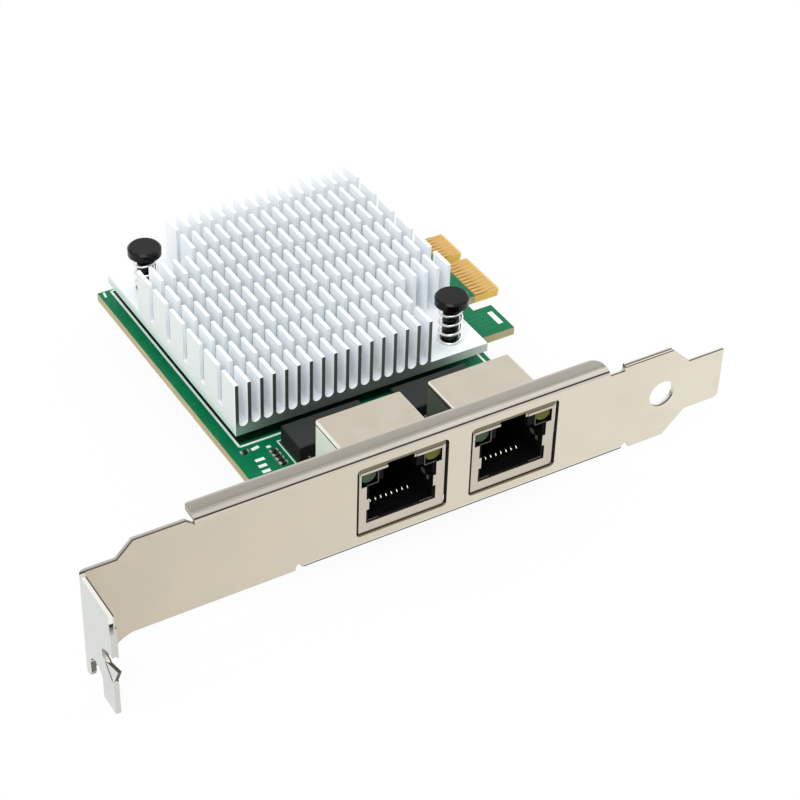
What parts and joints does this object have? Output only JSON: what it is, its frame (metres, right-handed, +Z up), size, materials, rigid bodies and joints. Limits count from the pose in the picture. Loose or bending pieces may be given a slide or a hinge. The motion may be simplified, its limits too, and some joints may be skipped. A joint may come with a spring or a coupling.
{
  "type": "network interface card",
  "caption": "Expansion card with a folded steel bracket, modular network jacks, a cross-cut heat sink held by sprung push pins, and a keyed edge connector.",
  "frame": {"origin": "axis of the screw notch, on the outer face of the bracket's mounting tab", "axes": "+X along the bracket from the tab to the tail, +Y from the ports back over the board, +Z up from the component side of the board"},
  "size_m": [0.12, 0.0904, 0.0228],
  "materials": {
    "bracket_steel": "nickel-plated, satin",
    "screw_steel": "plated",
    "board_laminate": "glossy solder mask",
    "contact_gold": "gold plated",
    "shield_metal": "nickel-plated, satin",
    "jack_plastic": "moulded",
    "wire_gold": "gold plated",
    "green_lens": "clear tinted",
    "yellow_lens": "clear tinted",
    "module_black": "moulded",
    "lead_tin": "tinned",
    "chip_black": "moulded",
    "pad_grey": "soft",
    "resistor_black": "glazed",
    "capacitor_tan": "fired",
    "crystal_metal": "plated",
    "inductor_grey": "pressed",
    "sink_aluminium": "clear anodised",
    "pin_plastic": "moulded nylon",
    "spring_steel": "bright"
  },
  "bodies": {
    "card": {"bracket": "bracket_steel", "bracket_screws": "screw_steel", "circuit_board": "board_laminate", "edge_contacts_top": "contact_gold", "edge_contacts_bottom": "contact_gold", "jack_shield_left": "shield_metal", "jack_shield_right": "shield_metal", "jack_housing_left": "jack_plastic", "jack_housing_right": "jack_plastic", "jack_contacts_left": "wire_gold", "jack_contacts_right": "wire_gold", "green_light_left": "green_lens", "green_light_right": "green_lens", "yellow_light_left": "yellow_lens", "yellow_light_right": "yellow_lens", "magnetics_left": "module_black", "magnetics_right": "module_black", "magnetics_leads_left": "lead_tin", "magnetics_leads_right": "lead_tin", "controller_chip": "chip_black", "thermal_pad": "pad_grey", "chip_resistors": "resistor_black", "chip_capacitors": "capacitor_tan", "underside_capacitors": "capacitor_tan", "crystal": "crystal_metal", "flash_chip": "chip_black", "power_inductor": "inductor_grey", "heat_sink": "sink_aluminium", "pin_spring_front": "spring_steel", "pin_spring_back": "spring_steel"},
    "pin_front": {"push_pin_front": "pin_plastic"},
    "pin_back": {"push_pin_back": "pin_plastic"}
  },
  "joints": [
    {"name": "pin_press_front", "type": "slide", "parent": "card", "child": "pin_front", "axis": [0, 0, 1], "range_m": [-0.0013, 0], "stiffness_N_per_m": 1500, "springref_m": 0.003, "deforming": ["pin_spring_front"]},
    {"name": "pin_press_back", "type": "slide", "parent": "card", "child": "pin_back", "axis": [0, 0, 1], "range_m": [-0.0013, 0], "stiffness_N_per_m": 1500, "springref_m": 0.003, "deforming": ["pin_spring_back"]}
  ]
}
